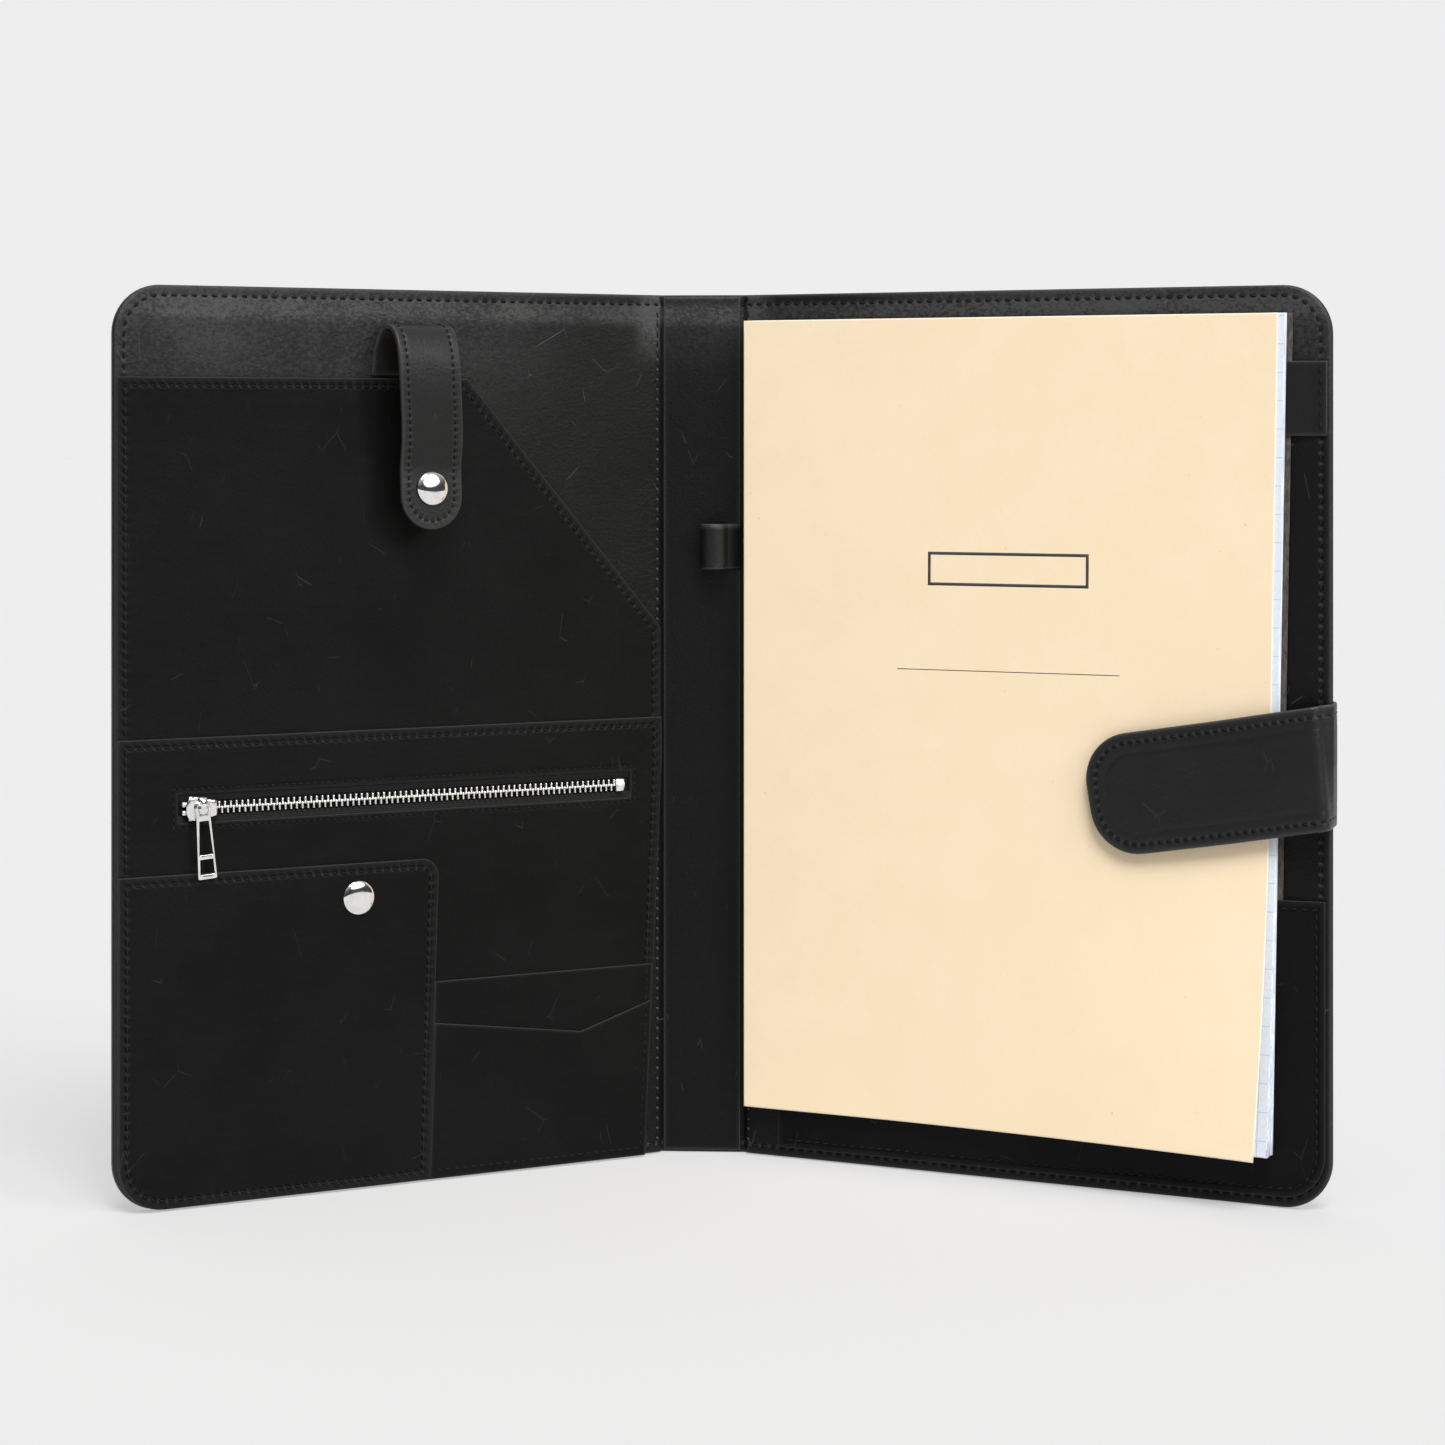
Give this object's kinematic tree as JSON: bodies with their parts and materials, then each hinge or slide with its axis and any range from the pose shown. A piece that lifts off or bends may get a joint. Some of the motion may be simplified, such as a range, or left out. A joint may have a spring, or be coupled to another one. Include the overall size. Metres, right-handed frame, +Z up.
{
  "type": "leather notebook cover",
  "caption": "Black leather A4 portfolio that stands open: zipped organiser pockets on the left, a refill pad on the right, a pen loop on the spine and a fold-over closure strap.",
  "frame": {"origin": "bottom centre of the whole open portfolio, on the surface that it stands on", "axes": "+X to the reader's right along the open width, +Y away from the reader towards the spine's outside, +Z up along the spine"},
  "size_m": [0.4381, 0.1192, 0.326],
  "materials": {
    "outer_leather": "smooth black leather with a soft sheen and fine grain",
    "lining_leather": "smooth black lining leather, lightly scuffed",
    "pocket_leather": "matt black leather with a fine grain",
    "strap_leather": "black leather strap, edge stitched",
    "board": "raw greyboard",
    "backboard": "raw greyboard, back of the pad",
    "magnet": "nickel plated magnet",
    "zip_tape": "woven black tape",
    "zip_metal": "bright nickel teeth, slider and stops",
    "snap_metal": "bright nickel snap",
    "paper": "pale squared paper",
    "card_cover": "cream card"
  },
  "bodies": {
    "spine": {"spine_outer_leather": "outer_leather", "spine_lining": "lining_leather", "pen_loop": "strap_leather"},
    "front_cover": {"front_hinge_leather": "outer_leather", "front_outer_leather": "outer_leather", "front_board": "board", "front_lining": "lining_leather", "front_magnet": "magnet", "document_pocket": "pocket_leather", "zip_panel": "pocket_leather", "zip_tape_upper": "zip_tape", "zip_tape_lower": "zip_tape", "zip_teeth_upper": "zip_metal", "zip_teeth_lower": "zip_metal", "zip_top_stops": "zip_metal", "zip_end_stop": "zip_metal", "card_slot_back": "pocket_leather", "card_slot_front": "pocket_leather", "phone_pocket": "pocket_leather", "phone_snap_cap": "snap_metal", "phone_snap_stud": "snap_metal", "pocket_strap_anchor": "strap_leather", "pocket_strap_fold": "strap_leather", "pocket_snap_stud": "snap_metal"},
    "zip_slider": {"zip_slider": "zip_metal"},
    "zip_pull": {"zip_pull": "zip_metal"},
    "pocket_strap": {"pocket_strap_face": "strap_leather", "pocket_strap_backing": "strap_leather", "pocket_snap_cap": "snap_metal", "pocket_snap_socket": "snap_metal"},
    "back_cover": {"back_hinge_leather": "outer_leather", "back_outer_leather": "outer_leather", "back_board": "board", "back_lining": "lining_leather", "pad_retaining_tab": "strap_leather", "pad_pocket": "pocket_leather", "closure_strap_base": "strap_leather", "closure_strap_fold": "strap_leather"},
    "closure_strap": {"closure_strap_face": "strap_leather", "closure_strap_backing": "strap_leather", "closure_magnet": "magnet"},
    "notebook": {"notebook_backboard": "backboard", "notebook_binding": "paper", "notebook_pages": "paper"},
    "notebook_cover": {"notebook_cover": "card_cover"}
  },
  "joints": [
    {"name": "front_cover_hinge", "type": "hinge", "parent": "spine", "child": "front_cover", "pos_m": [-0.03021, 0.05737, 0], "axis": [0, 0, -1], "range_deg": [-59, 31], "deforming": ["front_hinge_leather"]},
    {"name": "back_cover_hinge", "type": "hinge", "parent": "spine", "child": "back_cover", "pos_m": [0.00279, 0.05737, 0], "axis": [0, 0, 1], "range_deg": [-67.5, 22.5], "deforming": ["back_hinge_leather"]},
    {"name": "pocket_strap_hinge", "type": "hinge", "parent": "front_cover", "child": "pocket_strap", "pos_m": [-0.11458, -0.00219, 0.3074], "axis": [-0.8572, -0.515, 0], "range_deg": [-6, 150], "deforming": ["pocket_strap_fold"]},
    {"name": "zip_slide", "type": "slide", "parent": "front_cover", "child": "zip_slider", "axis": [0.8572, 0.515, 0], "range_m": [0, 0.155]},
    {"name": "zip_pull_swing", "type": "hinge", "parent": "zip_slider", "child": "zip_pull", "pos_m": [-0.18754, -0.0458, 0.141], "axis": [0.515, -0.8572, 0], "range_deg": [-80, 80]},
    {"name": "closure_strap_hinge", "type": "hinge", "parent": "back_cover", "child": "closure_strap", "pos_m": [0.2098, -0.03162, 0.1565], "axis": [-0.0765, 0.0317, 0.9966], "range_deg": [0, 180], "deforming": ["closure_strap_fold"]},
    {"name": "notebook_slide", "type": "slide", "parent": "back_cover", "child": "notebook", "axis": [0, 0, 1], "range_m": [0, 0.3]},
    {"name": "notebook_cover_hinge", "type": "hinge", "parent": "notebook", "child": "notebook_cover", "pos_m": [0.00176, 0.05017, 0.019], "axis": [0, 0, -1], "range_deg": [0, 110]}
  ]
}
